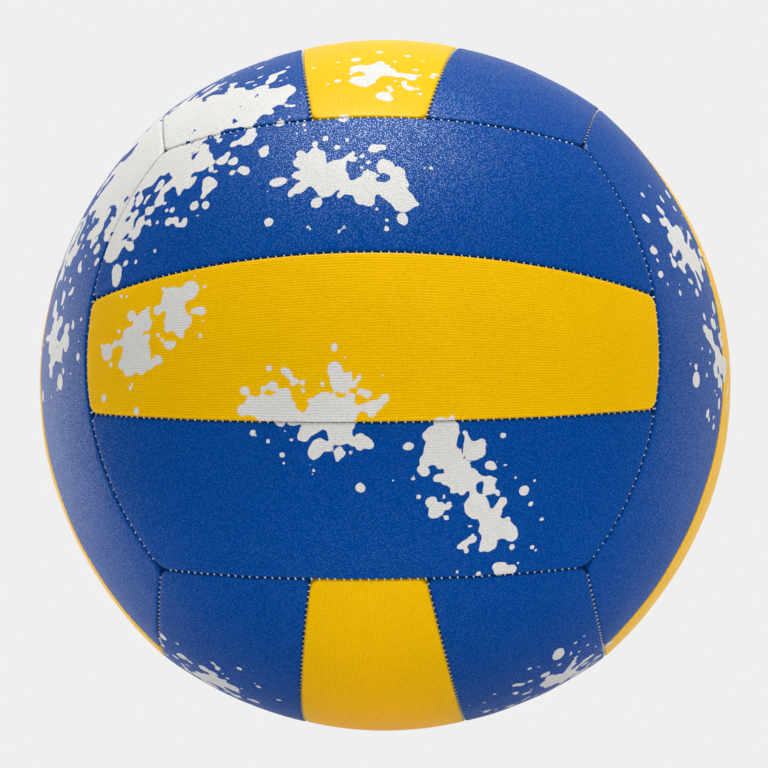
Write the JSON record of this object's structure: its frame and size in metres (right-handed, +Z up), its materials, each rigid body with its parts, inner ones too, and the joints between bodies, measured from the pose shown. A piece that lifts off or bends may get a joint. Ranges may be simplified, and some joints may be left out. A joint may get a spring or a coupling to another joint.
{
  "type": "volleyball",
  "caption": "Inflated volleyball sewn from long blue and yellow panels over a bladder, with a needle valve in the back.",
  "frame": {"origin": "the ball's centre, which is also the centre of its box", "axes": "+Z up; the front face's middle looks along -Y and its strips run along X; the needle valve opens along +Y, in the middle of the back face"},
  "size_m": [0.21, 0.2099, 0.21],
  "materials": {
    "blue_skin": "satin grained synthetic leather",
    "yellow_skin": "satin grained synthetic leather",
    "foam": "matte closed-cell foam",
    "lining": "woven cotton",
    "thread": "waxed polyester thread",
    "bladder_rubber": "smooth butyl",
    "valve_rubber": "matte moulded rubber",
    "core_rubber": "soft moulded rubber"
  },
  "bodies": {
    "root": {"front_upper_skin": "blue_skin", "front_upper_foam": "foam", "front_upper_lining": "lining", "front_centre_skin": "yellow_skin", "front_centre_foam": "foam", "front_centre_lining": "lining", "front_lower_skin": "blue_skin", "front_lower_foam": "foam", "front_lower_lining": "lining", "back_upper_skin": "blue_skin", "back_upper_foam": "foam", "back_upper_lining": "lining", "back_centre_skin": "yellow_skin", "back_centre_foam": "foam", "back_centre_lining": "lining", "back_lower_skin": "blue_skin", "back_lower_foam": "foam", "back_lower_lining": "lining", "right_front_skin": "blue_skin", "right_front_foam": "foam", "right_front_lining": "lining", "right_centre_skin": "yellow_skin", "right_centre_foam": "foam", "right_centre_lining": "lining", "right_rear_skin": "blue_skin", "right_rear_foam": "foam", "right_rear_lining": "lining", "left_front_skin": "blue_skin", "left_front_foam": "foam", "left_front_lining": "lining", "left_centre_skin": "yellow_skin", "left_centre_foam": "foam", "left_centre_lining": "lining", "left_rear_skin": "blue_skin", "left_rear_foam": "foam", "left_rear_lining": "lining", "top_right_skin": "blue_skin", "top_right_foam": "foam", "top_right_lining": "lining", "top_centre_skin": "yellow_skin", "top_centre_foam": "foam", "top_centre_lining": "lining", "top_left_skin": "blue_skin", "top_left_foam": "foam", "top_left_lining": "lining", "bottom_right_skin": "blue_skin", "bottom_right_foam": "foam", "bottom_right_lining": "lining", "bottom_centre_skin": "yellow_skin", "bottom_centre_foam": "foam", "bottom_centre_lining": "lining", "bottom_left_skin": "blue_skin", "bottom_left_foam": "foam", "bottom_left_lining": "lining", "edge_seam_thread": "thread", "strip_seam_thread": "thread", "bladder": "bladder_rubber", "balance_patch": "bladder_rubber", "valve_housing": "valve_rubber", "valve_core": "core_rubber"}
  },
  "joints": []
}
